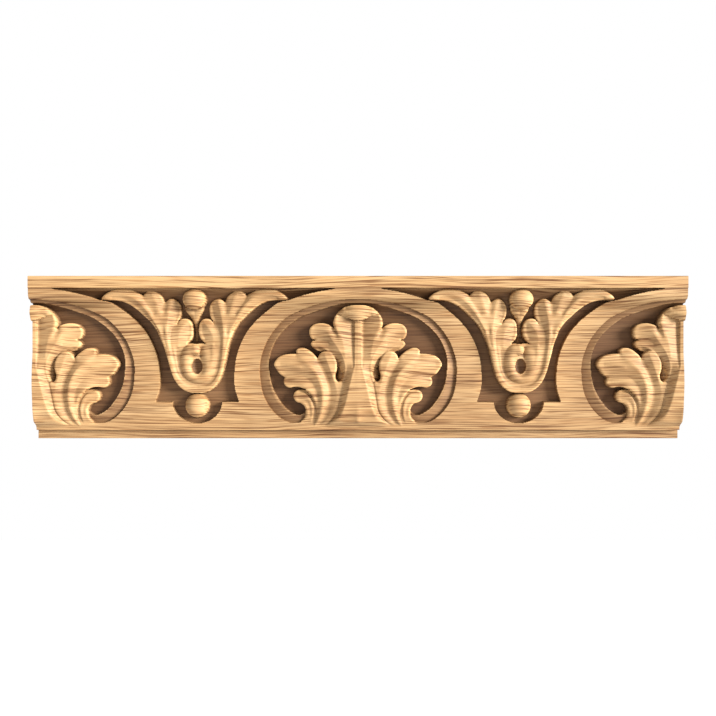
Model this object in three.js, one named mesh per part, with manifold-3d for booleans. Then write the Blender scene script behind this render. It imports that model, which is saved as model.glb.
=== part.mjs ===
// A length of carved oak cornice moulding: a top fillet, a cove-shaped face and a bottom fillet.
// The face carries a running pattern of acanthus leaves under arches, with a tulip between each pair.
// Millimetres. X runs along the moulding, Z is up, the back is the plane y = 0 and the face looks to -Y.
import * as THREE from 'three';
import { mergeVertices } from 'three/addons/utils/BufferGeometryUtils.js';
import Module from 'manifold-3d';

const wasm = await Module();
wasm.setup();

// Driving sizes
const LENGTH = 320;
const HEIGHT = 80;
const THICKNESS = 26;
const PATTERN_REPEAT = 160;
const TOP_FILLET_HEIGHT = 6.5;
const FOOT_FILLET_HEIGHT = 4.4;
const FOOT_FILLET_SETBACK = 16.6;
const COVE_DEPTH = 13.6;
const GROUND_SINK = 4;
const ARCH_REBATE_SINK = 0.9;
const WOOD_COLOUR = 0xdcaa72;
const WOOD_ROUGHNESS = 0.55;

// The face between the two fillets, and the size at which its ornament is drawn below
const FACE_TOP = HEIGHT / 2 - TOP_FILLET_HEIGHT;
const FACE_BOTTOM = -HEIGHT / 2 + FOOT_FILLET_HEIGHT;
const DRAWN_REPEAT = 160;
const DRAWN_TOP = 33.5;
const DRAWN_BOTTOM = -35.6;
const DRAWN_COVE = 13.6;
const ALONG = PATTERN_REPEAT / DRAWN_REPEAT;
const UPWARD = (FACE_TOP - FACE_BOTTOM) / (DRAWN_TOP - DRAWN_BOTTOM);
const INWARD = COVE_DEPTH / DRAWN_COVE;
const ROOT_UNDER_GROUND = 3;
const ORNAMENT_CLEARANCE = 0.4;
const END_WASTE = 9;

const placeX = (x) => x * ALONG;
const placeZ = (z) => FACE_BOTTOM + (z - DRAWN_BOTTOM) * UPWARD;
const placeY = (depth) => depth * INWARD - THICKNESS;

// Section of the face as [height, depth behind the front plane]: a round crown that falls into a cove
const COVE = [
  [33.5, 0], [30.9, 0.3], [29.7, 0.9], [28.3, 2.3], [26.9, 3.8], [23.7, 7], [20.6, 8.2],
  [17.9, 9.2], [12.1, 10.5], [6.1, 11.3], [0.2, 12], [-11.7, 12.5], [-23.5, 12.9], [-35.6, 13.6],
];

function coveDepth(z) {
  const below = COVE.findIndex(([height]) => height <= z);
  if (below === 0) return COVE[0][1];
  if (below < 0) return COVE[COVE.length - 1][1];
  const [upperZ, upperDepth] = COVE[below - 1];
  const [lowerZ, lowerDepth] = COVE[below];
  return THREE.MathUtils.mapLinear(z, upperZ, lowerZ, upperDepth, lowerDepth);
}

// Closed solids from three.js geometries
function solidOf(geometry) {
  const bare = geometry.index ? geometry.clone() : geometry;
  bare.deleteAttribute('normal');
  bare.deleteAttribute('uv');
  const merged = mergeVertices(bare, 1e-4);
  return new wasm.Manifold(new wasm.Mesh({
    numProp: 3,
    vertProperties: new Float32Array(merged.attributes.position.array),
    triVerts: new Uint32Array(merged.index.array),
  }));
}

function joined(solids) {
  return solids.reduce((whole, solid) => whole.add(solid));
}

// A prism that runs along X from a section drawn as [y, z] corners
function lengthwisePrism(section, from, to) {
  const shape = new THREE.Shape(section.map(([y, z]) => new THREE.Vector2(y, z)));
  const geometry = new THREE.ExtrudeGeometry(shape, { depth: to - from, bevelEnabled: false });
  // The section's two axes become Y and Z, and the run becomes X
  geometry.applyMatrix4(new THREE.Matrix4().makeBasis(
    new THREE.Vector3(0, 1, 0), new THREE.Vector3(0, 0, 1), new THREE.Vector3(1, 0, 0)));
  geometry.translate(from, 0, 0);
  return solidOf(geometry);
}

// A prism from in front of the face to the back plane, from an outline drawn as [x, z] corners
function facePrism(outline) {
  const shape = new THREE.Shape(outline.map(([x, z]) => new THREE.Vector2(x, z)));
  const geometry = new THREE.ExtrudeGeometry(shape, { depth: THICKNESS + END_WASTE, bevelEnabled: false });
  geometry.rotateX(Math.PI / 2);
  return solidOf(geometry);
}

// Section of the uncarved moulding as [y, z] corners, from the back's top edge round the front
const MOULDING_SECTION = [
  [0, HEIGHT / 2], [-THICKNESS, HEIGHT / 2],
  ...COVE.map(([z, depth]) => [placeY(depth), placeZ(z)]),
  [FOOT_FILLET_SETBACK - THICKNESS, FACE_BOTTOM], [FOOT_FILLET_SETBACK - THICKNESS, -HEIGHT / 2],
  [0, -HEIGHT / 2],
];

// Everything behind the cove's face sunk by a given depth, past the moulding on its other sides
function behindFace(sink, reach) {
  const face = COVE.map(([z, depth]) => [placeY(depth) + sink, placeZ(z)]);
  const [topY] = face[0];
  const [bottomY] = face[face.length - 1];
  return lengthwisePrism([
    [END_WASTE, HEIGHT], [topY, HEIGHT], ...face, [bottomY, -HEIGHT], [END_WASTE, -HEIGHT],
  ], -reach - END_WASTE, reach + END_WASTE);
}

// Smooth outlines
function smoothOutline(points, steps) {
  const curve = new THREE.CatmullRomCurve3(points.map(([x, z]) => new THREE.Vector3(x, z, 0)));
  return curve.getPoints(steps).map(({ x, y }) => [placeX(x), placeZ(y)]);
}

// A right half drawn from its axis outwards, completed by its mirror image
function mirrored(half) {
  const otherHalf = half.filter(([x]) => x > 0).map(([x, z]) => [-x, z]);
  return [...half, ...otherHalf.reverse()];
}

// Right half of the hollow behind a leaf, from the top of the arch down to the hook by the leaf's foot
const LEAF_HOLLOW = [
  [0, 25.9], [12.8, 25], [20.8, 23], [30.2, 19.1], [38.8, 11.6], [43.5, 2.3], [43.9, -7],
  [41.8, -15.7], [36.2, -24.2], [30.5, -27.8], [26.4, -26],
];
// The same half for the rebate that frames it
const LEAF_REBATE = [
  [0, 28.6], [10, 28], [20, 26.2], [29, 23], [37, 18.6], [44.2, 10], [48.2, 0], [48.7, -9],
  [46.9, -18.5], [42, -26.5], [35.5, -31.2], [29, -31.6], [23.5, -28],
];
// Left edge of the arch's outer side, seen from a tulip: from its pointed top to the shoulder
const TULIP_HOLLOW = [
  [72, 33.8], [61, 32.6], [53, 30.8], [46.3, 28.7], [42.7, 28], [38.8, 26.1], [30.8, 19.9],
  [24.2, 12.2], [19.8, 2.3], [18.3, -8], [18.6, -15], [20.5, -21.4],
];
const SHOULDER_HEIGHT = -21.4;
const NOTCH_RADIUS = 12.2;
const NOTCH_BOTTOM = -32.1;
const CURVE_STEPS = 14;
const NOTCH_STEPS = 7;

function leafHollow(half) {
  return facePrism(mirrored(smoothOutline(half, CURVE_STEPS)));
}

function tulipHollow() {
  const side = smoothOutline(TULIP_HOLLOW, CURVE_STEPS).map(([x, z]) => [x, Math.min(z, FACE_TOP)]);
  const drop = SHOULDER_HEIGHT - NOTCH_BOTTOM;
  const notch = [];
  for (let i = 0; i <= NOTCH_STEPS; i += 1) {
    const angle = (Math.PI / 2) * (i / (NOTCH_STEPS + 0.5));
    notch.push([placeX(NOTCH_RADIUS * Math.cos(angle)), placeZ(SHOULDER_HEIGHT - drop * Math.sin(angle))]);
  }
  return facePrism(mirrored([...side, ...notch]));
}

// Sections of carved strokes as [share of the half width, share of the drop from crest to edge]
const ROUND = [[-1, 1], [-0.6, 0.24], [0, 0], [0.6, 0.24], [1, 1]];
const RIBBED = [[-1, 0.7], [-0.55, 1], [-0.16, 0.1], [0.16, 0.1], [0.55, 1], [1, 0.7]];

// A carved stroke: a section carried along a smooth line on the face.
// Each point of the line gives [x, z, half width, depth of the crest]; the last one is a round tip.
function stroke(line, options = {}) {
  const { section = ROUND, drop = 1.3, steps = 5, tip = true, tail = false } = options;
  const route = new THREE.CatmullRomCurve3(line.map(([x, z]) => new THREE.Vector3(x, z, 0)));
  const gauge = new THREE.CatmullRomCurve3(line.map(([, , w, d]) => new THREE.Vector3(w, d, 0)));
  const end = route.getPoint(1);
  const start = route.getPoint(0);
  const positions = [];
  const ring = section.length + 2;
  const stations = [];
  for (let i = 0; i <= steps; i += 1) stations.push(i / steps);
  if (tip) stations.splice(steps, 0, 1 - 0.28 / steps);
  if (tail) stations.splice(1, 0, 0.28 / steps);
  for (const t of stations) {
    const at = route.getPoint(t);
    const along = route.getTangent(t);
    const { x: width, y: crest } = gauge.getPoint(t);
    const tipShare = tip ? Math.min(1, at.distanceTo(end) / width) : 1;
    const tailShare = tail ? Math.min(1, at.distanceTo(start) / width) : 1;
    const share = Math.max(0.12, Math.sqrt(1 - (1 - tipShare) ** 2) * Math.sqrt(1 - (1 - tailShare) ** 2));
    const half = width * share;
    const sunk = crest + drop * (1 - share);
    const corners = section.map(([u, v]) => [u * half, sunk + v * drop * share]);
    corners.push([half, null], [-half, null]);
    for (const [offset, depth] of corners) {
      const x = at.x - along.y * offset;
      const z = at.y + along.x * offset;
      const y = depth === null
        ? placeY(coveDepth(z)) + GROUND_SINK + ROOT_UNDER_GROUND
        : placeY(depth);
      positions.push(placeX(x), y, placeZ(z));
    }
  }
  const index = [];
  for (let i = 0; i < stations.length - 1; i += 1) {
    for (let j = 0; j < ring; j += 1) {
      const a = i * ring + j;
      const b = i * ring + ((j + 1) % ring);
      index.push(a, a + ring, b, b, a + ring, b + ring);
    }
  }
  const last = (stations.length - 1) * ring;
  for (let j = 1; j < ring - 1; j += 1) {
    index.push(0, j, j + 1, last, last + j + 1, last + j);
  }
  const geometry = new THREE.BufferGeometry();
  geometry.setAttribute('position', new THREE.Float32BufferAttribute(positions, 3));
  geometry.setIndex(index);
  return solidOf(outward(geometry));
}

// Turns a closed mesh the right way out by the sign of its volume
function outward(geometry) {
  const { array } = geometry.attributes.position;
  const faces = geometry.index.array;
  const [a, b, c] = [new THREE.Vector3(), new THREE.Vector3(), new THREE.Vector3()];
  let volume = 0;
  for (let i = 0; i < faces.length; i += 3) {
    a.fromArray(array, faces[i] * 3);
    b.fromArray(array, faces[i + 1] * 3);
    c.fromArray(array, faces[i + 2] * 3);
    volume += a.dot(b.cross(c));
  }
  if (volume < 0) geometry.setIndex(Array.from(faces).reverse());
  return geometry;
}

const blade = (line) => stroke(line, { steps: 3, drop: 0.8 });
const mirrorLine = (line) => line.map(([x, ...rest]) => [-x, ...rest]);

// Acanthus leaf, drawn from its centre line to the right
const LEAF_STEM = [
  [0, -34.6, 18, 12.2], [0, -29.3, 13.8, 8.2], [0, -21, 10, 6.6], [0, -11.5, 8.9, 5.9],
  [0, -2, 7.3, 6.7], [0, 6, 8.6, 7.2], [0, 13, 10.4, 7.3], [0, 19, 11.6, 7.3],
];
const LEAF_CURL = [
  [-12.4, 15.2, 1.6, 8.1], [-10.6, 19, 2.5, 6.4], [-6, 22, 3.4, 4.3], [0, 22.6, 3.6, 2.8],
  [6, 22, 3.4, 4.3], [10.6, 19, 2.5, 6.4], [12.4, 15.2, 1.6, 8.1],
];
const LEAF_LOBES = [
  [[8, -4, 1.6, 8.6], [8.2, 2, 2.2, 8.2], [10.4, 7.4, 3, 7.7], [14, 11.2, 3.9, 7.8],
    [19, 13.3, 4.1, 8.4], [25, 13.7, 3.8, 8.9]],
  [[9.8, 1, 1.6, 8.8], [12.4, 4.8, 2.4, 8.7], [16.8, 6.7, 2.9, 8.8], [23.8, 7, 2.7, 9.2]],
  [[19.5, -33.4, 1.9, 12.2], [14.4, -28.6, 2.3, 10.6], [12.1, -21, 2.8, 9.2], [12.1, -14, 3.5, 8.3],
    [14, -8, 4, 7.8], [16, -2.6, 4.6, 7.5], [16.4, 3.5, 4.9, 7.9]],
  [[19.5, -5, 2.2, 8.2], [22.6, -0.4, 2.4, 8.7], [26.6, 2.5, 2.2, 9.3], [31.2, 4.5, 2, 9.6]],
  [[21.4, -34, 1.9, 12.6], [17.8, -27.5, 2.4, 10.8], [17.6, -19.5, 3.2, 9.3],
    [20.2, -12, 4.3, 8.7], [26.8, -5.4, 6.1, 8.9], [34, -3.4, 5.9, 9.8], [42.2, -3.2, 5.2, 10.6]],
  [[22.6, -34, 1.9, 12.8], [20.9, -27, 1.9, 11.1], [21.4, -21, 2.1, 9.9], [24, -16, 2.4, 9.7],
    [29.6, -12.6, 2.7, 10.3], [37.8, -12.2, 2.5, 10.9]],
  [[24.2, -34, 2.9, 13], [24.4, -27.9, 2.6, 11.7], [25.4, -21.6, 2.9, 10.8], [28.4, -18.7, 3.3, 11],
    [32.8, -18.6, 3.1, 11.4]],
];

// Broad blades under the lobes, which close the valleys between them
const LEAF_BLADES = [
  [[22, -33.5, 4, 13], [17.4, -25, 5, 10.8], [17.8, -14, 7, 9.6], [24, -4.5, 7.5, 9.7]],
  [[9.4, 0, 3, 9.2], [13.4, 7.6, 5, 8.9], [20.5, 10.4, 5, 9.6]],
];

// Tulip, drawn from its centre line to the right
const TULIP_WINGS = [
  [[12.6, 0, 1.8, 8.2], [15, 8.4, 1.6, 7.2], [19.4, 17, 1.9, 6], [23.6, 23, 2.7, 5],
    [28.4, 28.2, 4, 4.1], [35.5, 30.6, 3.1, 3.5], [44.8, 29.3, 1.4, 3.3]],
  [[12.4, 1, 1.6, 8.2], [14, 10, 1.7, 7], [15.9, 16.4, 2.3, 6.2], [17.8, 23, 4, 5.1],
    [19.4, 32.4, 5.3, 4.3]],
  [[11.8, 1, 1.7, 8.3], [11.8, 10, 2, 7.5], [11, 17, 3.2, 6.8], [10.3, 22.8, 4, 6.1],
    [10.2, 28.8, 3.9, 5.8]],
  [[10.8, -1, 2.2, 8.4], [8.6, 4.6, 3.1, 8.3], [6.2, 9.7, 4.1, 8.2], [5, 14.4, 4, 7.9],
    [4.7, 19.3, 3.6, 7.8]],
];
const WING_BLADES = [
  [[12.4, 0, 3.2, 8.8], [13.6, 9, 4, 8.2], [16.6, 17, 6, 7], [21.5, 25, 7.5, 5.6]],
  [[11.4, 0, 3, 9], [10, 8, 4, 8.6], [9, 16, 5, 8.2]],
];
const TULIP_BOWL = [
  [-13, 8, 2.4, 8.2], [-11.4, -1.5, 2.5, 8.9], [-8.8, -8.4, 2.7, 9.6], [-4.6, -12.8, 2.8, 10.4],
  [0.8, -14.4, 2.9, 10.9], [6.2, -12.8, 2.8, 10.4], [10.4, -8.4, 2.7, 9.6], [13, -1.5, 2.5, 8.9],
  [14.6, 8, 2.4, 8.2],
];
const TULIP_SCROLL = [
  [9.4, 7.5, 3.2, 8.3], [9.2, 1.5, 3.6, 8.3], [8.2, -4.2, 4.1, 8.4], [5.2, -9, 3.6, 9],
  [1, -10.6, 3, 9.4], [-3.4, -8.8, 3.5, 9], [-5.3, -4, 3.9, 8.5], [-5, 0.8, 3.7, 8.1],
  [-2.6, 3.8, 3.5, 7.9], [2.4, 3.9, 3.2, 8],
];
const TULIP_STEM = [[0, 5, 1.3, 10.6], [0, 17, 1.2, 9.6], [0, 21, 2.6, 7.4], [0, 25.4, 4.6, 5.8]];
const TULIP_EYE_FLOOR = [[0.9, -9, 5, 11.6], [0.9, -4, 5.5, 11.6], [0.9, 2, 5, 11.6]];
const TOP_BALL = { x: 0, z: 28.7, across: 5.6, tall: 4.7, depth: 5.2, bulge: 4 };
const BOTTOM_BALL = { x: 0, z: -23.4, across: 6, tall: 6, depth: 14.4, bulge: 5 };
const BALL_SIDES = 12;
const BALL_RINGS = 8;

function ball({ x, z, across, tall, depth, bulge }) {
  const geometry = new THREE.SphereGeometry(1, BALL_SIDES, BALL_RINGS);
  geometry.scale(across * ALONG, bulge * INWARD, tall * UPWARD);
  geometry.translate(placeX(x), placeY(depth), placeZ(z));
  return solidOf(geometry);
}

// The post that a ball grows from, down into the ground
function ballRoot({ x, z, across, tall, depth }) {
  const geometry = new THREE.CylinderGeometry(1, 1, 1, BALL_SIDES);
  const back = placeY(coveDepth(z)) + GROUND_SINK + ROOT_UNDER_GROUND;
  const front = placeY(depth);
  geometry.scale(across * ALONG, back - front, tall * UPWARD);
  geometry.translate(placeX(x), (front + back) / 2, placeZ(z));
  return solidOf(geometry);
}

function leaf() {
  const parts = [
    stroke(LEAF_STEM, { section: RIBBED, tip: false }),
    stroke(LEAF_CURL, { tail: true, steps: 8 }),
  ];
  for (const line of LEAF_LOBES) parts.push(stroke(line), stroke(mirrorLine(line)));
  for (const line of LEAF_BLADES) parts.push(blade(line), blade(mirrorLine(line)));
  return joined(parts);
}

function tulip() {
  const parts = [
    stroke(TULIP_BOWL, { steps: 12, tip: false }),
    stroke(TULIP_SCROLL, { steps: 13 }),
    stroke(TULIP_STEM, { steps: 5, tip: false }),
    stroke(TULIP_EYE_FLOOR, { steps: 3, tip: false, drop: 0.2 }),
    ball(TOP_BALL), ballRoot(TOP_BALL), ball(BOTTOM_BALL), ballRoot(BOTTOM_BALL),
  ];
  for (const line of TULIP_WINGS) parts.push(stroke(line), stroke(mirrorLine(line)));
  for (const line of WING_BLADES) parts.push(blade(line), blade(mirrorLine(line)));
  return joined(parts);
}

// Copies of one motif wherever it falls on the length
function repeated(motif, firstCentre) {
  const copies = [];
  const reach = LENGTH / 2 + END_WASTE + PATTERN_REPEAT / 2;
  const first = Math.ceil((-reach - firstCentre) / PATTERN_REPEAT);
  for (let k = first; firstCentre + k * PATTERN_REPEAT < reach; k += 1) {
    copies.push(motif.translate([firstCentre + k * PATTERN_REPEAT, 0, 0]));
  }
  return joined(copies);
}

function box(x0, y0, z0, x1, y1, z1) {
  const geometry = new THREE.BoxGeometry(x1 - x0, y1 - y0, z1 - z0);
  geometry.translate((x0 + x1) / 2, (y0 + y1) / 2, (z0 + z1) / 2);
  return solidOf(geometry);
}

function mouldingSolid() {
  const reach = LENGTH / 2 + END_WASTE;
  const hollows = repeated(leafHollow(LEAF_HOLLOW), 0).add(repeated(tulipHollow(), PATTERN_REPEAT / 2));
  const rebates = repeated(leafHollow(LEAF_REBATE), 0);
  const carvedZone = box(-reach, -THICKNESS - END_WASTE, FACE_BOTTOM + ORNAMENT_CLEARANCE,
    reach, -ORNAMENT_CLEARANCE, FACE_TOP - ORNAMENT_CLEARANCE);
  const ornament = repeated(leaf(), 0).add(repeated(tulip(), PATTERN_REPEAT / 2)).intersect(carvedZone);
  const blank = lengthwisePrism(MOULDING_SECTION, -reach, reach);
  const carved = blank
    .subtract(rebates.subtract(behindFace(ARCH_REBATE_SINK, reach)))
    .subtract(hollows.subtract(behindFace(GROUND_SINK, reach)))
    .add(ornament);
  return carved.intersect(box(-LENGTH / 2, -THICKNESS - END_WASTE, -HEIGHT, LENGTH / 2, END_WASTE, HEIGHT));
}

function meshOf(name, solid, material) {
  const { vertProperties, triVerts } = solid.getMesh();
  const geometry = new THREE.BufferGeometry();
  geometry.setAttribute('position', new THREE.BufferAttribute(new Float32Array(vertProperties), 3));
  geometry.setIndex(new THREE.BufferAttribute(new Uint32Array(triVerts), 1));
  geometry.computeVertexNormals();
  const mesh = new THREE.Mesh(geometry, material);
  mesh.name = name;
  return mesh;
}

const oak = new THREE.MeshStandardMaterial({ color: WOOD_COLOUR, roughness: WOOD_ROUGHNESS, metalness: 0 });
const part = new THREE.Group();
part.add(meshOf('moulding', mouldingSolid(), oak));

export default part;
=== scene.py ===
import math

import bpy
import numpy as np
from mathutils import Matrix, Vector


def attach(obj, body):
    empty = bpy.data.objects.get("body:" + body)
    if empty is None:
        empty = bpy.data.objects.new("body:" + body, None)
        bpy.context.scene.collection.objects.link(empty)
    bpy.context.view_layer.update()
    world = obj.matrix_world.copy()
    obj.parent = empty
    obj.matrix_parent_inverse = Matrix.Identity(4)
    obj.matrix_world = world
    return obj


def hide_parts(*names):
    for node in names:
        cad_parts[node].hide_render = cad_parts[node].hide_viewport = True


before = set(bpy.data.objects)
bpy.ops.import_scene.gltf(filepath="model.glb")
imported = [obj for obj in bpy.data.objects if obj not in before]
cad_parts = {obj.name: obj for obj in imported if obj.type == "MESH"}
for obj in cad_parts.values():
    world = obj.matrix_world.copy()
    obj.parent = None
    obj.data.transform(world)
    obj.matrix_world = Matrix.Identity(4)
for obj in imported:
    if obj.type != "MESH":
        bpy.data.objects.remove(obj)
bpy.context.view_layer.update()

# The carved moulding: one length of oak cornice, cut square at both ends. The cove
# between its two square fillets is carved from the face with acanthus leaves in
# arched lunettes and with curled tulips. The back is sawn flat and fixed to a wall.
# Sizes are in millimetres.
MM = 0.001
LENGTH = 320.0
HEIGHT = 80.0
THICKNESS = 26.0
PATTERN_REPEAT = 160.0
TOP_FILLET = 34.0          # height of the top fillet's underside
FOOT_FILLET = -35.6        # height of the foot fillet's upper edge
FOOT_SETBACK = 16.6        # how far the foot fillet's face lies behind the front
WORN_EDGE = .35            # how far the fillets' outer edges are worn back
WORN_LIP = .3              # and the lower edge of the top fillet

# Points are (height, depth behind the front face).
COVE = [(34, .45), (30.9, .6), (29.7, 1.1), (28.3, 2.3), (26.9, 3.8), (23.7, 7),
        (20.6, 8.2), (17.9, 9.2), (12.1, 10.5), (6.1, 11.3), (.2, 12),
        (-11.7, 12.5), (-23.5, 12.9), (-35.6, 13.6)]
# The sunk ground lies GROUND_SINK under the cove, and undercuts the top fillet. In
# the drop-shaped gap beside each leaf's stem it rises by TEARDROP_RISE.
GROUND_SINK = 4.0
TEARDROP = (8.4, -8.5)
TEARDROP_RISE = 5.4
TEARDROP_SPREAD = (6, 40)  # across and up, squared
UNDERCUT = [(34, .8), (33.5, 3.8), (32.5, 6.2), (31, 8), (28.5, 9.4), (24, 10.8), (20, 12)]

# Half outlines, as (distance from the centre line, height).
LUNETTE = [(-7, 26.7), (0, 27), (7, 26.7), (12.8, 25.4), (20.8, 23), (30.2, 19.1),
           (38.8, 11.6), (43.5, 2.3), (43.9, -7), (41.8, -15.7), (36.2, -24.2), (30.5, -27.8),
           (27, -27), (25, -24)]
# The strip around the lunette is cut STRIP_STEP into the cove at its outer edge,
# and STRIP_FALL more over STRIP_WIDTH towards the lunette.
STRIP_STEP, STRIP_FALL, STRIP_WIDTH = .35, 1.3, 4.6
LUNETTE_EDGE = [(-6, 28.6), (0, 28.7), (10, 28), (20, 26.2), (29, 23), (37, 18.6),
                (44.2, 10), (48.2, 0), (48.7, -9), (46.9, -18.5), (42, -26.5),
                (35.5, -31.2), (29, -31.6), (24.5, -29)]
TULIP_SIDE = [(80, 36), (71, 34.4), (61, 32.7), (53, 30.8), (46.3, 28.7), (42.7, 28),
              (38.8, 26.1), (30.8, 19.9), (24.2, 12.2), (19.8, 2.3), (18.3, -8),
              (18.6, -15), (20.5, -21.4)]
# The notch under the tulip's ground, a quarter ellipse at either side.
NOTCH_RADIUS = 12.2
NOTCH_HEIGHT = 10.7
NOTCH_POINTS = 24

# The leaf: half outlines and guide lines, as (distance from its centre line,
# height[, depth]). Guide lines are the crests and the valleys of the carving. Its
# foot runs out into the cove over LEAF_RUN_OUT above the height LEAF_FOOT.
LEAF_FOOT, LEAF_RUN_OUT = -35.2, 4.2
LEAF_OUTLINE = [(-3, 25.9), (0, 26), (3.3, 25.9), (6.2, 25.2), (8.6, 23.8), (10.3, 22),
                (11.5, 20), (12.1, 18), (12, 15.9), (11.7, 14.7), (12.7, 15.4), (14.3, 16.5),
                (16.9, 17.2), (19.6, 17.2), (22.1, 16.5), (23.7, 14.8), (24.1, 12.9),
                (23.7, 11), (22.6, 9.6),
                (21.2, 9.2), (22.4, 8.6), (23.3, 7.4), (23.1, 6.5), (21.8, 5.1), (19.9, 3.9),
                (17.5, 3), (14, 0), (11.5, -3), (9.6, -4.2), (8.4, -6.3), (7.9, -8.8),
                (8.5, -11), (10, -12.3), (12, -14), (14, -20), (16, -27), (19, -33), (19, -37)]
LEAF_GUIDES = [
    [(0, 19, 7.3), (0, 4, 7.35), (0, -2, 6.7), (0, -6, 6.2), (0, -12.5, 5.9), (0, -20, 6.6),
     (0, -26, 7.3), (0, -31, 9), (0, -33, 11.3), (0, -35.6, 14.2)],
    [(1.2, 19, 7.4), (1.2, 4, 7.45), (1.4, -3.7, 6.55), (2.4, -8.2, 6.1), (3.6, -12.7, 5.95),
     (4.6, -17.2, 6.35), (5.7, -21.7, 6.9), (7.3, -26.1, 7.7), (8.9, -28.8, 8.7),
     (11.5, -31.1, 10.4), (14.7, -33.4, 12.7), (16, -36, 15)],
    [(2.4, 19, 9), (2.4, 12, 8.9), (2.4, 4, 8.5), (2.4, -1, 7.7), (2.5, -4, 7)],
    [(10.8, 21, 6.2), (11, 18, 6.4), (10.6, 15.5, 6.6), (9.4, 12.3, 6.9), (8.2, 9, 7),
     (7.3, 5, 7.1), (6.6, 1, 7.2)],
    [(12.2, 14.6, 8.4), (11.4, 12.6, 7.9), (10.8, 11, 7.5)],
    [(21.5, 14.6, 8.9), (17.8, 15, 8.2), (14.8, 13.4, 7.6), (12.6, 9.8, 7.2), (10.8, 7.3, 7.1),
     (9.1, 4.7, 7.1), (7.3, 1.4, 7.3), (6.2, -2.4, 7.7), (5.9, -5, 8.1), (6.3, -8, 8.7),
     (7, -11.5, 9.5)],
    [(21.4, 9.3, 10), (17.8, 8.7, 9.4), (14.8, 7.2, 8.8)],
    [(22, 7, 9.7), (18.5, 6.2, 9.2), (15, 4.3, 9), (12.2, 1.2, 9)],
    [(19.5, 4.1, 10.7), (15.8, 2.3, 11), (12.8, 0, 11.4), (10.4, -3.6, 11.6), (8.2, -8, 11.4)],
    [(7.9, -13, 9), (8.6, -17.2, 9.4), (9.3, -21.7, 10), (10, -25.2, 10.7),
     (11.3, -27.9, 11.5), (14, -31.1, 12.6), (18, -33.8, 14), (19, -36.5, 15)],
    [(12, -14, 12.6), (12.6, -20, 12.8), (14.5, -26.5, 13.4)],
]
# The curl that turns over at the head of the leaf.
CURL_OUTLINE = [(-3, 25.9), (0, 26), (3.3, 25.9), (6.2, 25.2), (8.4, 23.9), (9.5, 22.6),
                (9.3, 21.6), (7.6, 20.9), (5, 19.9), (2.4, 18.9), (0, 18.6), (-2.4, 18.9)]
CURL_GUIDES = [
    [(-8.8, 22.3, 5.6), (-5.5, 22.6, 4), (0, 22.4, 2.8), (5.5, 22.6, 4), (8.8, 22.3, 5.6)],
    [(-6.5, 20.7, 6), (-3, 19.4, 4.6), (0, 18.9, 4.1), (3, 19.4, 4.6), (6.5, 20.7, 6)],
    [(-6, 24.9, 5.4), (-3, 25.6, 4), (0, 25.7, 3.6), (3, 25.6, 4), (6, 24.9, 5.4)],
]
# The fan of lobes at either side, and the small hook under it, as whole outlines.
FAN_OUTLINE = [(17.8, -33.8), (13.8, -31.1), (11.1, -27.9), (9.75, -25.2), (9.1, -21.7),
               (8.4, -17.2), (7.7, -13.6), (7.7, -11.9), (8.6, -11.4), (9.8, -11.6),
               (11, -10.4), (11.3, -8.2), (10.8, -6.5), (10.4, -4.6), (10.4, -2.7),
               (10.9, -.8), (11.9, 1.1), (13.3, 2.8), (14.9, 3.6), (16.9, 3.5), (18.5, 2.5),
               (19.5, 1.1), (20, -.1), (21.2, 1.4), (23.4, 3.3), (25.4, 4.6), (27.8, 5.2),
               (29.7, 4.8), (30.6, 3.6), (30.4, 2.4), (32.2, 2.2), (34.9, 2), (37.7, 1.4),
               (39.9, 0), (41.4, -2.2), (41.5, -3.5), (40.4, -5.4), (38.8, -7.6), (36.9, -8.9),
               (36.3, -9.5), (36.8, -10.9), (36.6, -12.6), (35.5, -13.9), (33.8, -14.4),
               (31.4, -14), (29.2, -14.1), (26.9, -14.9), (24.7, -16.6), (22.7, -19.3),
               (21.5, -21.8), (20.9, -24.5), (20.6, -27.2), (20.9, -30), (22.5, -33), (24, -37),
               (20, -37)]
FAN_GUIDES = [
    [(16, 2, 8.2), (14.5, -2, 7.9), (13, -6, 8), (11.8, -10, 8.3), (10.4, -14, 8.7),
     (9.9, -18, 9.1), (10.5, -22, 9.7), (11.7, -26, 10.4), (14.2, -29.8, 11.7),
     (17.5, -32.8, 13), (19, -36.5, 15)],
    [(20, -.6, 9.7), (18.3, -4, 9.6), (16.4, -7.5, 9.7), (14.7, -12, 9.8), (13.8, -17, 10.1),
     (14.1, -22, 10.7), (15.5, -27, 12), (18, -31.5, 13), (20.5, -34.5, 14.2), (21, -36.5, 15)],
    [(30.6, 1.6, 10), (28, -.6, 8.8), (25.6, -2.3, 8.2), (21.6, -6.2, 7.8), (18.9, -10.8, 7.9),
     (17.6, -15.6, 8.3), (17.3, -20.5, 9), (18, -25.4, 10.1), (19.8, -30.3, 11.8),
     (21.8, -33.8, 13.4), (22.5, -36.5, 15)],
    [(38.5, -3, 10.4), (33, -3, 9.3), (28.5, -4, 8.7)],
    [(29, 3.8, 9.7), (25.5, 2.4, 9.1), (22.5, 1.2, 9.2)],
    [(36.3, -9.3, 11.7), (31, -8.4, 10.5), (26.5, -9.6, 9.7), (22.7, -13, 9.6),
     (20.6, -17, 9.9), (19.9, -21, 10.4)],
    [(35.6, -11.8, 11.2), (31, -11.8, 10.2), (26.8, -13, 9.5), (23.8, -15.8, 9.5),
     (21.8, -19.6, 9.9), (20.6, -24, 10.9), (20.6, -29, 12.2), (23, -33, 13.8), (24, -36.5, 15)],
]
HOOK_OUTLINE = [(26, -15.5), (29, -15.6), (30.6, -16.2), (31.7, -17.3), (32, -19.1),
                (31.4, -20.6), (30.1, -21.7), (28.3, -22.2), (26.9, -23.3), (26.1, -24.9),
                (25.9, -26.7), (26.1, -28.5), (26.9, -30.1), (28.5, -32), (29, -37), (20, -37),
                (19, -30), (19, -24), (20.5, -19)]
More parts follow.
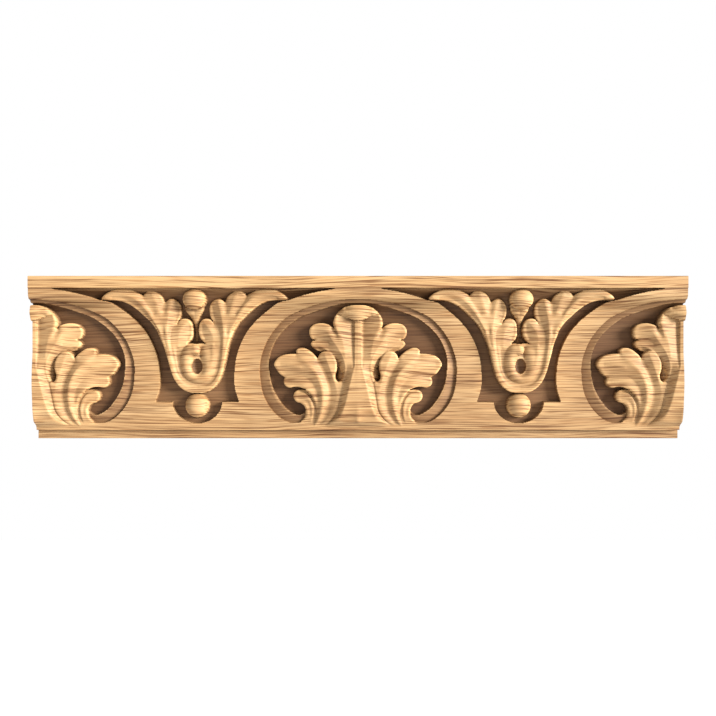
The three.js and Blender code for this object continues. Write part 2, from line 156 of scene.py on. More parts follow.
HOOK_GUIDES = [
    [(28.5, -15.6, 12.2), (25.5, -16.6, 11.8), (23, -19.6, 11.6), (21.8, -23, 11.7),
     (21.4, -27, 12.5), (22.4, -31, 13.5), (23, -36.5, 15)],
    [(30, -18, 11.3), (27.5, -17.9, 11), (25.2, -18.8, 10.9), (23.5, -21.3, 11),
     (22.8, -24, 11.2), (22.7, -27.5, 11.9), (23.4, -31.5, 13.2), (24, -36.5, 15)],
    [(29.4, -20.4, 11.7), (26.9, -21.1, 11.5), (24.9, -22.9, 11.5), (24, -25.8, 11.8),
     (23.9, -29, 12.5)],
    [(28.6, -21.6, 11.6), (26.3, -22.7, 11.4), (25, -24.9, 11.6), (24.9, -27.5, 12),
     (25.3, -30.5, 13), (26, -36.5, 15)],
]
# The tulip, the same way. Under BOWL_TOP its bowl sways BOWL_SHIFT to the right.
BOWL_SHIFT, BOWL_TOP = .45, 14
TULIP_OUTLINE = [(-3, -17), (0, -17.25), (3, -17), (6, -16), (8.7, -14), (10.9, -11),
                 (12.4, -7.5), (13.4, -3.9), (14.3, -.1), (15.1, 3), (16, 6.5), (17.3, 9.9),
                 (18.7, 13), (20.6, 16.2), (22.6, 18.6), (24.9, 20.7), (27, 22.8),
                 (29.3, 24.6), (31.5, 26.2),
                 (34.2, 27.5), (37, 28.3), (40.1, 28.6), (42.8, 28.5), (44.8, 28.7),
                 (45.4, 29.3), (44, 30.9), (42, 32.2), (39.7, 33.2), (37, 33.8), (33.8, 33.7),
                 (30.7, 33.1), (28, 32.1), (26.1, 31.1), (25.3, 30.7), (24.5, 31.7),
                 (22.9, 32.6), (20.9, 32.8), (19, 32.4), (17, 31.2), (15.7, 29.5),
                 (14.8, 27.6), (13.5, 28.4), (11.9, 29.1), (10, 28.9), (8.3, 27.6),
                 (7.1, 25.5), (6.9, 23.2), (7.2, 21), (8.1, 18.8), (9.1, 17.1), (8.3, 18.3),
                 (6.9, 19.3), (5, 19.5), (3.2, 18.9), (1.9, 17), (1.3, 14), (1.7, 11),
                 (2.8, 8.9), (4.4, 7.4), (2, 7.3), (0, 7.2), (-2, 7.3)]
TULIP_GUIDES = [
    [(43, 30, 3.7), (37, 31.6, 3.4), (31, 30.6, 3.6), (26.5, 27.4, 4.2), (22.5, 22.6, 5),
     (19.2, 17.2, 5.9), (16.6, 11.5, 6.7), (14.9, 6, 7.5)],
    [(40, 29.2, 4.5), (34.5, 28.6, 4.9), (29.5, 25.6, 5.6), (25, 21.6, 6.3), (21, 17.4, 7.1),
     (18.2, 13.2, 7.8)],
    [(25.3, 30.7, 5.5), (23.6, 27.7, 5.2), (21.6, 24.8, 5.5), (20, 22, 5.9)],
    [(20.5, 31.4, 4.6), (19.2, 27.5, 4.9), (17.8, 23, 5.4), (16.6, 18, 6.1), (15.6, 12.5, 6.9)],
    [(14.8, 27.5, 6.5), (15, 25, 6.2), (15.2, 22.8, 6.3)],
    [(11.8, 27.8, 5.6), (12.8, 24, 5.7), (13.9, 18, 6), (14.2, 12.5, 6.4), (13.9, 8.5, 6.9),
     (13.3, 3, 7.6), (12.6, -2, 8.5), (11.3, -7, 9.4), (8.6, -11.8, 10.2), (4.6, -14.8, 10.7),
     (0, -15.7, 10.9)],
    [(8.1, 25, 7.6), (8.4, 21.5, 7.9), (9.6, 18, 8.2)],
    [(9.3, 17.3, 8.5), (11.2, 14.3, 8), (12, 11, 7.9), (12, 7.5, 8.1), (11.4, 3, 8.6),
     (10.6, -1, 9.3), (9.7, -6, 10.1), (7.5, -10.3, 10.8), (4, -12.7, 11.3), (0, -13.4, 11.5)],
    [(4.6, 18, 8.1), (6.2, 16, 7.8), (8, 13.3, 7.7), (9, 10, 8), (9, 6.5, 8.4)],
    [(2.8, 16, 9), (2.7, 12.5, 9.3), (4, 9.5, 9.5)],
]
# The bowl's floor, around the ring and inside it.
FLOOR_GUIDES = [
    [(-9.4, 4.6, 9.2), (-9.6, 0, 9.8), (-8.8, -4.6, 10.4), (-6.6, -9, 11), (-3.2, -11.4, 11.4)],
    [(-5, 3, 9.4), (-5, -4, 9.8), (.4, -9, 10.6), (5, -5, 10), (5, 2, 9.4), (2.6, 5.5, 10.1),
     (2.1, 1, 10.7)],
    [(8.6, 6.5, 8.2), (8.2, 2, 8.3), (7.2, -3, 8.8)],
]
# The ring that the scroll curls into, from its round head on, and the stem under
# the top bead, as (across, height, half width, depth).
SCROLL = [(-1, 4.4, 2.75, 6.7), (-3.4, 3.6, 3, 7.1), (-5, .8, 3, 7.8), (-5, -3.8, 2.9, 8.3),
          (-3.5, -7.9, 2.7, 8.9), (.2, -10, 2.4, 9.3), (4.1, -8.6, 2.7, 9.1),
          (6, -4.4, 3.3, 8.7), (5.9, 0, 3.9, 8.5), (5.5, 3.5, 4, 8.8), (5.4, 7, 3.6, 9.8)]
TULIP_STEM = [(-.3, 6.5, 1.6, 14.5), (-.25, 9, 1, 14), (-.2, 14.5, .95, 12.8),
              (-.3, 20.3, 2, 9), (-.5, 25.4, 4.6, 6.4)]
# The hole in the ring: (across, height, half width, half height), its depth in the
# middle, and how much less deep it is at its edge.
EYE = (.4, -3.9, 2.5, 3.55)
EYE_FLOOR, EYE_DISH = 12.8, .9
# The beads: (across, height, half width, half height, depth of the rim, bulge).
TOP_BEAD = (0, 28.9, 5.65, 5, 4.4, 4)
FOOT_BEAD = (0, -23.4, 6, 6, 14.4, 5.4)

# The relief is a grid of points, and its skins are stretched on nets from coarse to
# fine, as (step, rounds of averaging), held to their guide lines by HOLD_FORCE.
GRID_STEP = 0.32
NETS = ((2., 80), (1., 80), (.5, 100), (.25, 160))
HOLD_FORCE = 40
FAR_GAP = 9.0              # gap to a form that isn't near
BEHIND_ALL = 99.0          # depth of a form where it isn't
MOST_TRIANGLES = 192000
SHARP_ANGLE = 38           # degrees, over which an edge isn't smoothed

# A tone from -2 at the palest to 3 in the darkest corners. Most of it is painted
# light and shade: painted highlights on the top fillet, the ornament and along rims,
# painted shade on the foot fillet, the strip, in creases, at the foot of walls and
# under the top fillet. The sunk ground is darker the deeper it lies under the cove.
TOP_PAINTED_LIGHT = -.4
FOOT_PAINTED_SHADE = .2
COVE_TONE = .1
STRIP_PAINTED_SHADE = .65
ORNAMENT_PAINTED_LIGHT = -.3
GROUND_TONE = 2.2
TULIP_GROUND_PALER = .75   # by how much it is less round the tulip,
TULIP_REACH = 24           # as far as this from its middle
MOUTH_DEPTH = 11.5         # the tulip's mouth, which takes the ground's tone, is deeper
MOUTH_HEIGHT = 5           # and higher than this
EYE_TONE = 1.7
CAVITY_PAINTED_SHADE = .25          # painted shade in creases, for each mm a point lies below the wood around it over the mm looked at,
CAVITY_REACHES = (.8, 2.5)  # which are these
WALL_PAINTED_SHADE, WALL_WIDTH = .6, .9   # more painted shade along the foot of a carved wall
LIP_PAINTED_SHADOW, LIP_WIDTH = 1.5, .6    # and a painted shadow line along the top fillet
RIM_HIGHLIGHT_WIDTH = .3          # of the painted highlight line along a rim


def through(points, spacing=.25):
    """Catmull-Rom curve: between two points, a cubic whose slope at each is half the
    step from the point before it to the point after it."""
    p = np.asarray(points, float)
    ends = np.vstack([2 * p[0] - p[1], p, 2 * p[-1] - p[-2]])
    runs = []
    for a, b, c, d in zip(ends[:-3], ends[1:-2], ends[2:-1], ends[3:]):
        count = max(int(np.hypot(*(c - b)[:2]) / spacing), 2)
        t = np.linspace(0, 1, count, endpoint=False)[:, None]
        runs.append(b + .5 * t * (c - a) + t**2 * (a - 2.5 * b + 2 * c - .5 * d)
                    + .5 * t**3 * (3 * b - a - 3 * c + d))
    return np.vstack(runs + [p[-1:]])


def profile_depth(z, profile=COVE):
    """Depth of a running profile at height z, read off its smooth line."""
    line = through(profile, .5)
    return np.interp(-z, -line[:, 0], line[:, 1])


def mirrored(half):
    """A half outline and its mirror image about the centre line, as one closed loop."""
    line = through(half, .7)
    line = line[line[:, 0] >= 0]
    return np.vstack([line, (line * (-1, 1))[::-1]])


def gap_to(outline, x, z):
    """Signed distance to a closed outline: to the nearest point of its edges, with a
    minus inside it, where a ray to the right crosses an odd number of edges."""
    nearest = np.full(x.shape, 1e9)
    inside = np.zeros(x.shape, bool)
    for (x0, z0), (x1, z1) in zip(outline, np.roll(outline, -1, axis=0)):
        across, up = x1 - x0, z1 - z0
        span = across**2 + up**2
        if span < 1e-12:
            continue
        t = np.clip(((x - x0) * across + (z - z0) * up) / span, 0, 1)
        nearest = np.minimum(nearest, (x - x0 - t * across)**2 + (z - z0 - t * up)**2)
        if up:
            inside ^= ((z0 > z) != (z1 > z)) & (x < across * (z - z0) / up + x0)
    return np.where(inside, -1, 1) * np.sqrt(nearest)


def around(x, z, line, margin):
    """Whether (x, z) lies in the box round a line, made wider by margin all round."""
    low, high = line[:, :2].min(axis=0) - margin, line[:, :2].max(axis=0) + margin
    return (x > low[0]) & (x < high[0]) & (z > low[1]) & (z < high[1])


def lobe(x, z, line, drop, edge, power):
    """(gap, depth) of a rounded stroke. Gap = least of (distance to a point of the
    line - its half width), with that point slid along the line to lie square below.
    Depth = crest + drop u^power + edge u^8, with u = distance / half width."""
    fine = through(line)
    centre, half, crest = fine[:, :2], fine[:, 2], fine[:, 3]
    run = np.concatenate([[0], np.cumsum(np.hypot(*np.diff(centre, axis=0).T))])
    ahead = np.gradient(centre, run, axis=0)
    ahead /= np.hypot(*ahead.T)[:, None]
    near = around(x, z, centre, half.max() + 1.5)
    gap = np.full(x.shape, FAR_GAP)
    depth = np.full(x.shape, BEHIND_ALL)
    dx = x[near][:, None] - centre[:, 0]
    dz = z[near][:, None] - centre[:, 1]
    away = np.hypot(dx, dz)
    k = np.argmin(away - half, axis=1)
    i = np.arange(len(k))
    dx, dz, away = dx[i, k], dz[i, k], away[i, k]
    widen = np.gradient(half, run)
    deepen = np.gradient(crest, run)
    slide = ahead[k, 0] * dx + ahead[k, 1] * dz + widen[k] * away
    most = .13                 # half way to the next point of the line
    slide = np.clip(slide, -most * (k > 0), most * (k < len(half) - 1))
    away = np.hypot(dx - slide * ahead[k, 0], dz - slide * ahead[k, 1])
    half, crest = half[k] + slide * widen[k], crest[k] + slide * deepen[k]
    u = np.clip(away / half, 0, 1.3)
    gap[near] = away - half
    depth[near] = crest + drop * u**power + edge * u**8
    return gap, depth


def bead(x, z, across, height, half_width, half_height, rim, bulge):
    """(gap, depth) of half an ellipsoid: depth = rim - bulge sqrt(1 - r^2), with r the
    distance over the half sizes."""
    r = np.hypot((x - across) / half_width, (z - height) / half_height)
    return (r - 1) * min(half_width, half_height), rim - bulge * np.sqrt(np.clip(1 - r**2, 0, 1))


def read_off(net, low, step, x, z):
    """A square net's value at (x, z), straight between its four nearest points."""
    across, up = (x - low[0]) / step, (z - low[1]) / step
    i = np.clip(np.floor(across).astype(int), 0, net.shape[1] - 2)
    j = np.clip(np.floor(up).astype(int), 0, net.shape[0] - 2)
    across, up = across - i, up - j
    return ((net[j, i] * (1 - across) + net[j, i + 1] * across) * (1 - up)
            + (net[j + 1, i] * (1 - across) + net[j + 1, i + 1] * across) * up)


def stretched(outline, guides):
    """(net, low corner, step) of a skin stretched over the guide lines, so that plain
    slopes run from each crest to its valleys. Every point of the net is set, round
    after round, to the mean of its four neighbours and of the depth of each line's
    nearest point, which counts HOLD_FORCE exp(-(distance / hold)^2) times."""
    margin = 2.5
    low, high = outline.min(axis=0) - margin, outline.max(axis=0) + margin
    lines = [through(guide, .3) for guide in guides]
    net = None
    for step, rounds in NETS:
        x, z = np.meshgrid(np.arange(low[0], high[0] + step, step),
                           np.arange(low[1], high[1] + step, step))
        hold = max(.3, .6 * step)
        held = np.zeros(x.shape)
        pull = np.zeros(x.shape)
        for line in lines:
            near = around(x, z, line, 3 * hold)
            away = (x[near][:, None] - line[:, 0])**2 + (z[near][:, None] - line[:, 1])**2
            k = np.argmin(away, axis=1)
            force = HOLD_FORCE * np.exp(-away[np.arange(len(k)), k] / hold**2)
            held[near] += force
            pull[near] += force * line[k, 2]
        if net is None:
            net = np.full(x.shape, pull.sum() / held.sum())
        else:
            net = read_off(net, low, 2 * step, x, z)
        for turn in range(rounds):
            wide = np.pad(net, 1, mode="edge")
            net = (wide[:-2, 1:-1] + wide[2:, 1:-1] + wide[1:-1, :-2] + wide[1:-1, 2:]
                   + pull) / (4 + held)
    return net, low, step


def sheet(x, z, outline, skin, rim=1., roll=.5):
    """(gap, depth) of a carved form: its stretched skin, which goes on a little past
    the outline, and rolls off to it by roll (1 - distance / rim)^2 within rim of it."""
    gap = np.full(x.shape, FAR_GAP)
    depth = np.full(x.shape, BEHIND_ALL)
    near = around(x, z, outline, 2)
    gap[near] = gap_to(outline, x[near], z[near])
    covered = gap < .6
    outward = np.clip(1 + gap[covered] / rim, 0, 1)
    depth[covered] = read_off(*skin, x[covered], z[covered]) + roll * outward**2
    return gap, depth


def both_sides(guides):
    """Guide lines with their mirror images about the centre line."""
    return guides + [[(-x, *rest) for x, *rest in guide] for guide in guides]


def closed(outline):
    """A smooth closed loop through the outline's points."""
    return through(outline + outline[:1], .7)


def laid(layers):
    """(gap, depth) of several forms: the least gap, and the least depth among those
    that cover the point."""
    gap = np.minimum.reduce([g for g, d in layers])
    return gap, np.minimum.reduce([np.where(g < 0, d, BEHIND_ALL) for g, d in layers])


# Each form's outline, with its skin.
LEAF, CURL, FAN, HOOK, TULIP = ((outline, stretched(outline, guides)) for outline, guides in (
    (mirrored(LEAF_OUTLINE), both_sides(LEAF_GUIDES)), (mirrored(CURL_OUTLINE), CURL_GUIDES),
    (closed(FAN_OUTLINE), FAN_GUIDES), (closed(HOOK_OUTLINE), HOOK_GUIDES),
    (mirrored(TULIP_OUTLINE), both_sides(TULIP_GUIDES) + FLOOR_GUIDES)))


def carving(x, z):
    """Depth behind the front face at (x, z): the cove, the strip round the lunette, the
    sunk ground, then the leaf and the tulip on it. With it the gaps to the edges of
    the ornament, the sunk ground, the strip and the ring's hole."""
    along = np.mod(x, PATTERN_REPEAT)
    from_leaf = np.where(along > PATTERN_REPEAT / 2, PATTERN_REPEAT - along, along)
    from_tulip = along - PATTERN_REPEAT / 2
    cove = profile_depth(z)
    ground = cove + GROUND_SINK - TEARDROP_RISE * np.exp(
        -(from_leaf - TEARDROP[0])**2 / TEARDROP_SPREAD[0]
        - (z - TEARDROP[1])**2 / TEARDROP_SPREAD[1])
    lunette = gap_to(mirrored(LUNETTE), from_leaf, z)
    strip = gap_to(mirrored(LUNETTE_EDGE), from_leaf, z)
    turn = np.linspace(0, np.pi / 2, NOTCH_POINTS)[:-1]
    notch = np.stack([NOTCH_RADIUS * np.cos(turn),
                      TULIP_SIDE[-1][1] - NOTCH_HEIGHT * np.sin(turn)], -1)
    half = np.vstack([through(TULIP_SIDE, .7), notch])
    tulip_ground = gap_to(np.vstack([half, (half * (-1, 1))[::-1]]), from_tulip, z)
    stepped = cove + STRIP_STEP + STRIP_FALL * np.clip(1 + strip / STRIP_WIDTH, 0, 1)
    depth = np.where(strip < 0, stepped, cove)
    sunk = np.minimum(lunette, tulip_ground)
    under_lip = (z > UNDERCUT[-1][0]) & (tulip_ground < 0)
    ground = np.where(under_lip, np.maximum(ground, profile_depth(z, UNDERCUT)), ground)
    depth = np.where(sunk < 0, ground, depth)
    leaf_gap, leaf_depth = laid([
        sheet(from_leaf, z, *LEAF), sheet(from_leaf, z, *CURL, rim=1.4, roll=.8),
        sheet(from_leaf, z, *FAN), sheet(from_leaf, z, *HOOK)])
    foot = np.clip((z - LEAF_FOOT) / LEAF_RUN_OUT, 0, 1)
    proud = (cove - leaf_depth) * foot**2 * (3 - 2 * foot)
    leaf_depth = np.where(leaf_gap < 0, cove - proud, BEHIND_ALL)
    sway = BOWL_SHIFT * np.clip(1 - z / BOWL_TOP, 0, 1)
    bowl_gap, bowl_depth = sheet(from_tulip - sway, z, *TULIP)
    ring_gap, ring_depth = lobe(from_tulip - sway, z, SCROLL, drop=1.7, edge=.3, power=2)
    blend = .3
    joined = -blend * np.logaddexp(-bowl_depth / blend, -ring_depth / blend)
    bowl_depth = np.where(ring_gap < 0, joined, bowl_depth)
    across, height, half_width, half_height = EYE
    eye = np.hypot((from_tulip - across) / half_width, (z - height) / half_height)
    bowl_depth = np.where(eye < 1, EYE_FLOOR - EYE_DISH * eye**4, bowl_depth)
    eye = (eye - 1) * half_width
    tulip_gap, tulip_depth = laid([
        (bowl_gap, bowl_depth),
        lobe(from_tulip, z, TULIP_STEM, drop=1.3, edge=.5, power=2.2),
        bead(from_tulip, z, *TOP_BEAD), bead(from_tulip, z, *FOOT_BEAD)])
    ornament = np.minimum(leaf_gap, tulip_gap)
    depth = np.minimum(depth, np.minimum(leaf_depth, tulip_depth))
    return depth, ornament, sunk, strip, eye


def softened(depth, reach):
    """Depth averaged under a bell curve of that reach: its Fourier transform times
    exp(-(2 pi f reach)^2 / 2), with f the waves per mm. The face and its mirror image
    are taken together, so that the pattern closes up and down as it does along."""
    closing = np.vstack([depth, depth[::-1]])
    up = np.fft.fftfreq(closing.shape[0], GRID_STEP)[:, None]
    along = np.fft.rfftfreq(closing.shape[1], GRID_STEP)
    bell = np.exp(-2 * (np.pi * reach)**2 * (up**2 + along**2))
    return np.fft.irfft2(np.fft.rfft2(closing) * bell, closing.shape)[:len(depth)]


def painted_light_and_shade(x, z, depth, ornament, sunk, strip, eye):
    """The tone for each place, mostly painted light and shade: a set tone for each place,
    plus painted shade from the cavity, which is how far a point lies below the wood
    around it over the distance looked at, less a painted highlight along the rims. In
    the sunk ground it grows with the depth under the cove."""
    under_lip = np.clip((TOP_FILLET - .1 - z) / 2, 0, 1)
    below = np.clip((depth - profile_depth(z) - .3) / GROUND_SINK, 0, 1) * under_lip
    by_tulip = np.exp(-((x - PATTERN_REPEAT / 2) / TULIP_REACH)**4)
    # Painted shade in the ornament's creases, from how far each point lies below the wood around
    # it.
    cavity = sum(np.clip(depth - softened(depth, reach), -2, 1.6) / reach
                 for reach in CAVITY_REACHES)
    # Painted highlight just inside the ornament's rim, and just outside the sunk ground's.
    rim_highlight = (np.exp(-((ornament + .35) / RIM_HIGHLIGHT_WIDTH)**2)
              + .7 * np.exp(-((sunk - .3) / RIM_HIGHLIGHT_WIDTH)**2) * (strip > -6))
    on_strip = (strip < 0) & (sunk > 0)
    # Painted shade on the strip round the lunette, and painted light on the ornament.
    plain = np.where(on_strip, STRIP_PAINTED_SHADE, COVE_TONE * (sunk > 0))
    plain = np.where(ornament < 0, ORNAMENT_PAINTED_LIGHT, plain)
    mouth = (depth > MOUTH_DEPTH) & (z > MOUTH_HEIGHT)
    tone = np.where((ornament > 0) | mouth,
                    (GROUND_TONE - TULIP_GROUND_PALER * by_tulip) * below,
                    CAVITY_PAINTED_SHADE * cavity) + plain - rim_highlight
    tone = np.where(eye < 0, EYE_TONE, tone)
    # Painted shade on the sunk ground along the foot of the ornament's walls and of the ground's
    # own edge.
    on_ground = (ornament > 0) & (sunk < 0)
    tone += WALL_PAINTED_SHADE * on_ground * (np.exp(-np.abs(ornament) / WALL_WIDTH)
                                     + .6 * np.exp(-np.abs(sunk) / WALL_WIDTH))
    # A painted shadow line on the cove just under the top fillet.
    return tone + LIP_PAINTED_SHADOW * (sunk > 0) * np.exp(-((TOP_FILLET - z) / LIP_WIDTH)**2)


def face_grid():
    """(x, z, depth, tone) over the carved face, on an even grid. A point within about
    half a step of an edge slides down the edge's slope to just inside it, once."""
    columns = int(round(PATTERN_REPEAT / GRID_STEP))
    rows = int(round((TOP_FILLET - FOOT_FILLET) / GRID_STEP)) + 1
    x, z = np.meshgrid(np.arange(columns) * PATTERN_REPEAT / columns,
                       np.linspace(FOOT_FILLET, TOP_FILLET, rows))
    most, inside = .55 * GRID_STEP, .02
    loose = np.zeros(x.shape, bool)
    loose[1:-1, 2:-1] = True
    for gap in carving(x, z)[1:]:
        rise, run = np.gradient(gap, z[1, 0] - z[0, 0], x[0, 1] - x[0, 0])
        steep = run**2 + rise**2
        near = loose & (np.abs(gap) < most) & (steep > .4) & (steep < 1.6)
        x = np.where(near, x - (gap + inside) * run / steep, x)
        z = np.where(near, z - (gap + inside) * rise / steep, z)
        loose &= ~near
    depth, *gaps = carving(x, z)
    tone = painted_light_and_shade(x, z, depth, *gaps)
    turns = int(round(LENGTH / PATTERN_REPEAT))
    x = np.hstack([x + (turn - turns / 2) * PATTERN_REPEAT for turn in range(turns)])
    z, depth, tone = (np.tile(a, turns) for a in (z, depth, tone))
    z, depth, tone = (np.hstack([a, a[:, :1]]) for a in (z, depth, tone))
    return np.hstack([x, np.full((rows, 1), LENGTH / 2)]), z, depth, tone


def moulding_mesh():
    """Closed skin: rows of points up the foot fillet, the carved face and the top
    fillet, joined by the back, with a flat face at each end. Before and after are the
    (depth, height) of the rows under and over the carved face."""
    x, z, depth, tone = face_grid()
    before = [(THICKNESS, -HEIGHT / 2), (FOOT_SETBACK + WORN_EDGE, -HEIGHT / 2),
              (FOOT_SETBACK, -HEIGHT / 2 + WORN_EDGE), (FOOT_SETBACK, FOOT_FILLET - .01)]
    after = [(0, TOP_FILLET + WORN_LIP), (0, HEIGHT / 2 - WORN_EDGE), (WORN_EDGE, HEIGHT / 2),
             (THICKNESS, HEIGHT / 2)]
    line = x[0]
    path_z = np.vstack([np.full_like(line, h) for d, h in before] + [z]
                       + [np.full_like(line, h) for d, h in after])
    path_d = np.vstack([np.full_like(line, d) for d, h in before] + [depth]
                       + [np.full_like(line, d) for d, h in after])
    path_x = np.vstack([line] * len(before) + [x] + [line] * len(after))
    rows, columns = path_z.shape
    points = np.stack([path_x, path_d - THICKNESS, path_z], -1).reshape(-1, 3) * MM
    index = np.arange(rows * columns).reshape(rows, columns)
    a, b = index[:-1, :-1], index[:-1, 1:]
    c, d = index[1:, 1:], index[1:, :-1]
    faces = np.stack([a, b, c, d], -1).reshape(-1, 4)
    back = np.stack([index[-1, :-1], index[-1, 1:], index[0, 1:], index[0, :-1]], -1)
    mesh = bpy.data.meshes.new("carved_moulding")
    quads = np.vstack([faces, back])
    ends = [index[:, 0][::-1].tolist(), index[:, -1].tolist()]
    mesh.from_pydata(points.tolist(), [], quads.tolist() + ends)
    # Painted shade on the foot fillet and the rows under the face, painted light on the top fillet
    # and the rows over it.
    tone = np.vstack([np.full((len(before), columns), FOOT_PAINTED_SHADE), tone,
                      np.full((len(after), columns), TOP_PAINTED_LIGHT)])
    mesh.attributes.new("painted_shading", "FLOAT", "POINT").data.foreach_set("value", tone.ravel())
    return mesh


def oak():
    """Quarter-sawn oak. Streaks are noise drawn out along X, bent by a slow wave and
    tilted a little about X. Broad bands give the colour, and fine dark lines and short
    pores multiply it, less so in the ground. So does the tone attribute, mostly painted
    light and shade: brown in the ground, painted shade in creases and along walls,
    painted highlights along rims and on the ornament."""
    material = bpy.data.materials.new("oak")
    material.use_nodes = True
    tree = material.node_tree
    shader = tree.nodes["Principled BSDF"]
    shader.inputs["Roughness"].default_value = .6
    shader.inputs["Specular IOR Level"].default_value = .2

    def node(kind, values=(), **settings):
        """A new node, with each input set to its value or linked to its output."""
        made = tree.nodes.new(kind)
        for name, value in settings.items():
            setattr(made, name, value)
        for socket, value in values:
            if isinstance(value, bpy.types.NodeSocket):
                tree.links.new(value, made.inputs[socket])
            else:
                made.inputs[socket].default_value = value
        return made

    def ramp(value, stops):
        """The colour at that value, straight between stops of (value, colour)."""
        made = node("ShaderNodeValToRGB", [("Fac", value)])
        steps = made.color_ramp.elements
        for place, colour in stops[1:-1]:
            steps.new(place)
        for step, (place, colour) in zip(steps, stops):
            step.position = place
            step.color = (*colour, 1)
        return made.outputs["Color"]

    place = node("ShaderNodeTexCoord").outputs["Object"]
    wave_place = node("ShaderNodeMapping", [("Vector", place), ("Scale", (9, 14, 30))]).outputs[0]
    wave = node("ShaderNodeTexNoise", [("Vector", wave_place), ("Scale", 1.), ("Detail", 1.)])
    wave_height, tilt = .012, math.radians(8)
    lift = node("ShaderNodeVectorMath", [(0, wave.outputs["Color"]), (1, (0, 0, wave_height))],
                operation="MULTIPLY").outputs[0]
    bent = node("ShaderNodeVectorMath", [(0, place), (1, lift)], operation="ADD").outputs[0]
    bent = node("ShaderNodeMapping", [("Vector", bent), ("Rotation", (tilt, 0, 0))]).outputs[0]

    def streak(scale, detail, roughness=.5):
        """Noise at place x scale, so drawn out most along the axis of least scale."""
        drawn = node("ShaderNodeMapping", [("Vector", bent), ("Scale", scale)]).outputs[0]
        return node("ShaderNodeTexNoise", [("Vector", drawn), ("Scale", 1.), ("Detail", detail),
                                           ("Roughness", roughness)]).outputs["Fac"]

    broad = ramp(streak((7, 50, 150), 2.),
                 [(.34, (.252, .148, .066)), (.50, (.280, .172, .079)), (.66, (.306, .196, .096))])
    lines = ramp(streak((30, 170, 2300), 2.5, .55),
                 [(.37, (.38, .26, .18)), (.46, (.91, .88, .85)), (.56, (1.15, 1.13, 1.10))])
    pores = ramp(streak((60, 200, 2000), 1.),
                 [(.34, (.70, .60, .52)), (.48, (1, 1, 1))])

    def multiplied(colour, by, amount=1.):
        """Colour x (1 - amount + amount x by). A colour mix has its two colours on
        inputs 6 and 7, and its result on output 2."""
        mix = node("ShaderNodeMix", [(0, amount), (6, colour), (7, by)],
                   data_type="RGBA", blend_type="MULTIPLY")
        return mix.outputs[2]

    painted_shading = node("ShaderNodeAttribute", attribute_name="painted_shading").outputs["Fac"]
    shown = node("ShaderNodeMapRange", [("Value", painted_shading), ("From Min", .8), ("From Max", 2.),
                                        ("To Min", 1.), ("To Max", .55)]).outputs["Result"]
    deep = node("ShaderNodeMapRange", [("Value", painted_shading), ("From Min", -2.),
                                       ("From Max", 3.)]).outputs["Result"]
    # The tone's painted light and shade, from a painted highlight at 1.5 times to painted shade at
    # .19 times the wood's colour.
    tone = ramp(deep, [(.10, (1.5, 1.5, 1.45)), (.40, (1, 1, 1)), (.52, (.72, .66, .62)),
                       (.74, (.49, .41, .375)), (.82, (.39, .31, .275)), (1, (.19, .14, .12))])
    grained = multiplied(multiplied(broad, lines, shown), pores, shown)
    tree.links.new(multiplied(grained, tone), shader.inputs["Base Color"])
    return material


def thinned(mesh, most):
    """The same skin with its flattest edges folded away until at most that many
    triangles are left, smooth but for the edges over SHARP_ANGLE."""
    rough = bpy.data.objects.new("rough", mesh)
    bpy.context.scene.collection.objects.link(rough)
    fold = rough.modifiers.new("fold", "DECIMATE")
    fold.ratio = most / sum(len(face.vertices) - 2 for face in mesh.polygons)
    fold.use_collapse_triangulate = True
    folded = rough.evaluated_get(bpy.context.evaluated_depsgraph_get())
    skin = bpy.data.meshes.new_from_object(folded)
    bpy.data.objects.remove(rough)
    skin.polygons.foreach_set("use_smooth", np.ones(len(skin.polygons), bool))
    skin.set_sharp_from_angle(angle=math.radians(SHARP_ANGLE))
    return skin


moulding = bpy.data.objects.new("carved_moulding", thinned(moulding_mesh(), MOST_TRIANGLES))
bpy.context.scene.collection.objects.link(moulding)
print("triangles", len(moulding.data.polygons))
moulding.data.materials.append(oak())
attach(moulding, "root")
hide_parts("moulding")

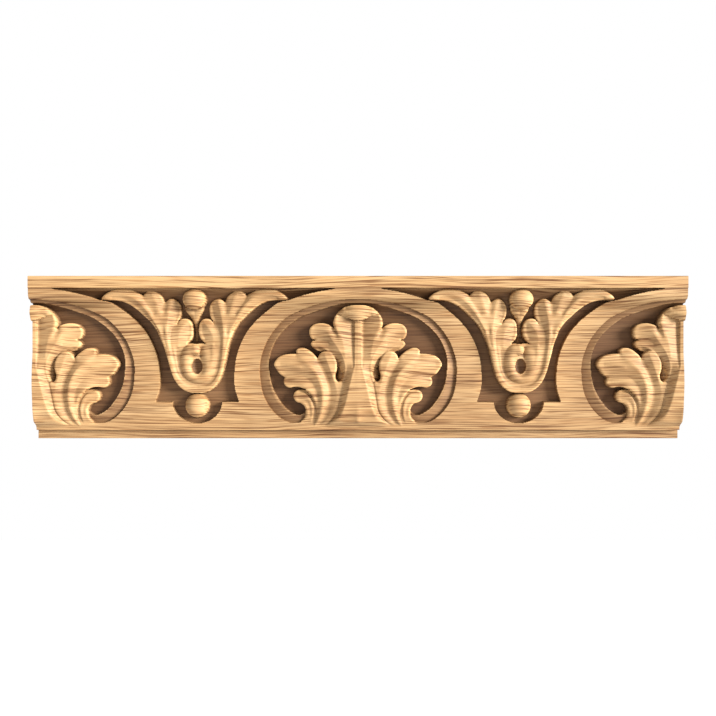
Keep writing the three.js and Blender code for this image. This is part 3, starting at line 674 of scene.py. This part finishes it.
# The studio: a pale floor well under the moulding, which hangs as if on its wall,
# white light all round and one wide lamp from the right.
FLOOR_DROP = 1.2
FLOOR_REACH = 6
floor_mesh = bpy.data.meshes.new("floor")
floor_mesh.from_pydata([(across * FLOOR_REACH, back * FLOOR_REACH, -FLOOR_DROP)
                        for across, back in ((-1, -1), (1, -1), (1, 1), (-1, 1))],
                       [], [(0, 1, 2, 3)])
floor = bpy.data.objects.new("floor", floor_mesh)
bpy.context.scene.collection.objects.link(floor)
floor_paint = bpy.data.materials.new("floor_paint")
floor_paint.use_nodes = True
floor_shader = floor_paint.node_tree.nodes["Principled BSDF"]
floor_shader.inputs["Base Color"].default_value = (.9, .9, .9, 1)
floor_shader.inputs["Roughness"].default_value = .9
floor.data.materials.append(floor_paint)

sky = bpy.data.worlds.new("studio")
sky.use_nodes = True
sky.node_tree.nodes["Background"].inputs["Color"].default_value = (1, 1, 1, 1)
sky.node_tree.nodes["Background"].inputs["Strength"].default_value = 1.0
bpy.context.scene.world = sky

LAMP_STRENGTH = 11.0
LAMP_WIDTH = math.radians(25)
LAMP_PLACE = Vector((1, -1, .2))
TOWARDS_LAMP = Vector((1, -.6, .25))
key = bpy.data.objects.new("key", bpy.data.lights.new("key", "SUN"))
key.data.energy = LAMP_STRENGTH
key.data.angle = LAMP_WIDTH
turned = TOWARDS_LAMP.to_track_quat("Z", "Y").to_matrix().to_4x4()
key.matrix_world = Matrix.Translation(LAMP_PLACE) @ turned
bpy.context.scene.collection.objects.link(key)

# The camera: square on to the face, with a 50 mm lens, half a metre in front of
# the wall and a hair above the middle of the moulding.
CAMERA_DISTANCE = .5074
CAMERA_RISE = .0002
camera = bpy.data.objects.new("camera", bpy.data.cameras.new("camera"))
camera.data.lens = 50
camera.data.sensor_width = 36
camera.location = (0, -CAMERA_DISTANCE, CAMERA_RISE)
camera.rotation_euler = (math.radians(90), 0, 0)
bpy.context.scene.collection.objects.link(camera)
bpy.context.scene.camera = camera
bpy.context.scene.view_settings.view_transform = "Standard"

bpy.context.view_layer.update()
